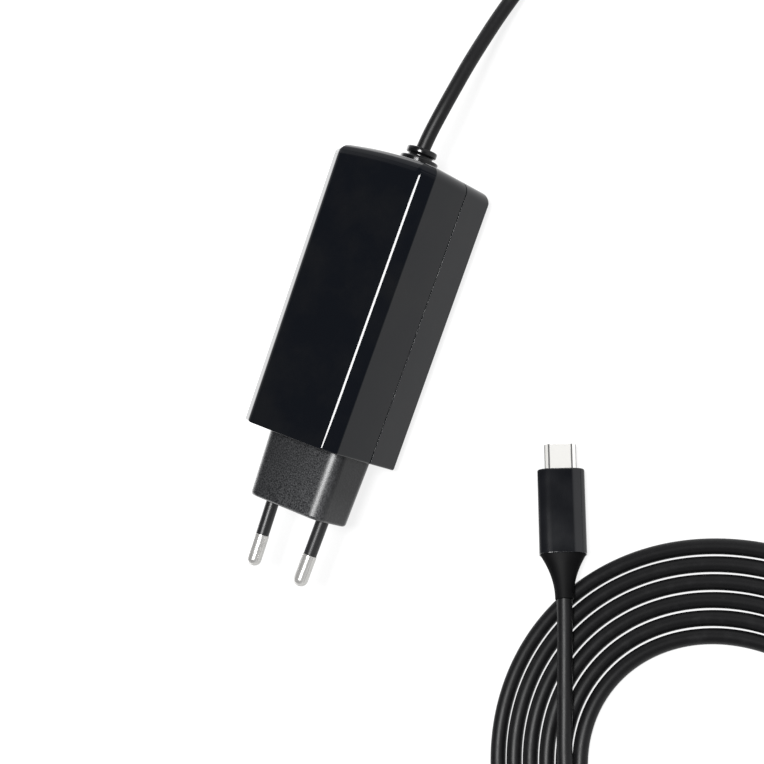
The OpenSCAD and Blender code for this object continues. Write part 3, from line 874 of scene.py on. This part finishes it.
def makeFoldedPlate():
    # bright plate with painted shade: darker along each bend where the strip turns round its sides and along
    # its outer sides
    finish = Finish("bright tongue")
    axis = plugFrame().to_3x3() @ Vector((1, 0, 0))
    centre = plugFrame().translation
    spot = finish.add("ShaderNodeVectorMath", {"operation": "SUBTRACT"}, {0: finish.place(), 1: centre})
    across = finish.add("ShaderNodeVectorMath", {"operation": "DOT_PRODUCT"}, {0: spot, 1: axis}, "Value")
    across = finish.add("ShaderNodeMath", {"operation": "ABSOLUTE"}, {0: across * 1000})
    half, turn = plugShape["tongueWidth"] / 2, (plugShape["tongueWidth"] - plugShape["tongueHeight"]) / 2
    fold = finish.add("ShaderNodeMath", {"operation": "ABSOLUTE"}, {0: across - turn - 0.05})
    line = foldedPlate["line"]
    # painted shade: darker along each bend line and in the outer 0.3 mm of the sides
    paintedBendShade = finish.spread(fold, line, line * 0.4) + finish.spread(across, half - 0.3, half - 0.1)
    fine = finish.noise(1500, 2)
    return finish.finish(
        colour=finish.mix(paintedBendShade, foldedPlate["colour"], foldedPlate["fold"]),
        rough=foldedPlate["rough"],
        metal=foldedPlate["metal"],
        normal=finish.bump(fine, 0.0003),
    )


plugGrip, plugRelief, plugTongue = makeGrip(), makeRelief(), makeTongue()
give(plugGrip, finishes["grip"], "grip_satin", "plug_grip")
give(plugRelief, finishes["relief"], "relief_rubber", "plug_relief")
give(plugTongue, makeFoldedPlate(), "tongue_metal", "tongue_shell")
print("lead plug made")
leadCord.data.materials.append(finishes["jacket"])

# inner parts keep their CAD shape and take a finish by record slot
innerFinishes = {
    "wire_insulation": makePlain("wire insulation", (0.35, 0.1, 0.05), 0.4),
    "circuit_board": makePlain("circuit board", (0.02, 0.15, 0.06), 0.35, coat=0.3),
    "component_black": makePlain("moulded part", (0.02, 0.02, 0.02), 0.45),
    "film_capacitor": makePlain("film capacitor", (0.7, 0.6, 0.1), 0.35),
    "ceramic_capacitor": makePlain("dipped capacitor", (0.05, 0.2, 0.5), 0.3),
    "ferrite": makePlain("ferrite", (0.06, 0.06, 0.065), 0.5, metal=0.3),
    "copper_wire": makePlain("enamelled copper", (0.62, 0.26, 0.09), 0.25, metal=1.0),
    "winding_tape": makePlain("winding tape", (0.8, 0.5, 0.05), 0.3),
    "capacitor_sleeve": makePlain("capacitor sleeve", (0.03, 0.03, 0.1), 0.3),
    "capacitor_can": makePlain("capacitor can", (0.7, 0.71, 0.72), 0.25, metal=1.0),
    "bobbin_plastic": makePlain("bobbin plastic", (0.7, 0.65, 0.5), 0.5),
    "component_white": makePlain("white part", (0.8, 0.8, 0.78), 0.45),
    "heat_spreader": makePlain("heat spreader", (0.75, 0.76, 0.78), 0.3, metal=1.0),
    "thermal_pad": makePlain("thermal pad", (0.35, 0.5, 0.65), 0.6),
    "insulating_sheet": makePlain("insulating sheet", (0.8, 0.77, 0.62), 0.4),
    "contact_gold": makePlain("gold contact", (0.85, 0.6, 0.2), 0.2, metal=1.0),
}
for subpart in frame["record"]["subparts"]:
    if subpart["material_slot"] in innerFinishes:
        mesh = frame["nodes"][subpart["node"]].data
        mesh.materials.clear()
        mesh.materials.append(innerFinishes[subpart["material_slot"]])
print("inner parts finished")

studio = {
    "floor": 0.14,
    "glow": 0.84,
    "leftGlow": 2.0,
    "skyLow": 0.8,
    "skyHigh": 0.05,
    "endGlow": 0.9,
    "boxSize": (0.35, 0.62),
    "boxAt": (0.5, 0.07, 1.52),
    "boxPower": 46.0,
}


def makeStudio():
    bpy.ops.object.select_all(action="DESELECT")
    bpy.ops.mesh.primitive_plane_add(size=3, location=(0, 0, 0))
    floor = bpy.context.object
    floor.name = "floor"
    # a pale table that glows as if lit evenly from below, so that shadows stay faint; left of the case it
    # glows brighter, a painted glow that brightens the reflections in the case's and the neck's left edges
    finish = Finish("lit table")
    value = studio["floor"]
    across = finish.add("ShaderNodeSeparateXYZ", None, {0: finish.place()})
    # painted glow: the floor glows brighter left of the case
    left = finish.spread(across, -0.032, -0.06)
    glow = left * studio["leftGlow"] + studio["glow"]
    finish.surface.inputs["Emission Strength"].default_value = 1
    grey = finish.add("ShaderNodeCombineXYZ", None, {0: glow, 1: glow, 2: glow})
    finish.fill(finish.surface, {"Emission Color": grey})
    floor.data.materials.append(finish.finish(colour=(value, value, value), rough=0.9, specular=0.1))
    world = bpy.data.worlds.new("studio")
    bpy.context.scene.world = world
    world.use_nodes = True
    sky = Shader(world.node_tree)
    direction = sky.add("ShaderNodeTexCoord")
    level = sky.add("ShaderNodeSeparateXYZ", None, {0: direction}, 2)
    along = sky.add("ShaderNodeSeparateXYZ", None, {0: direction}, 1)
    low = sky.spread(level, 0.62, 0.15)
    end = sky.spread(along, 0.14, 0.2) * sky.spread(level, 0.8, 0.7)
    light = low * (studio["skyLow"] - studio["skyHigh"]) + end * studio["endGlow"] + studio["skyHigh"]
    tint = sky.mix(light, (0.0, 0.0, 0.004), (1.0, 1.0, 1.02))
    sky.fill(sky.nodes["Background"], {"Color": tint})
    data = bpy.data.lights.new("overhead softbox", "AREA")
    data.shape = "RECTANGLE"
    data.size, data.size_y = studio["boxSize"]
    data.energy = studio["boxPower"]
    softbox = bpy.data.objects.new("overhead softbox", data)
    softbox.location = studio["boxAt"]
    softbox.rotation_euler = (-softbox.location).to_track_quat("-Z", "Y").to_euler()
    bpy.context.scene.collection.objects.link(softbox)
    bpy.context.scene.view_settings.view_transform = "Standard"
    print("studio lit")


makeStudio()
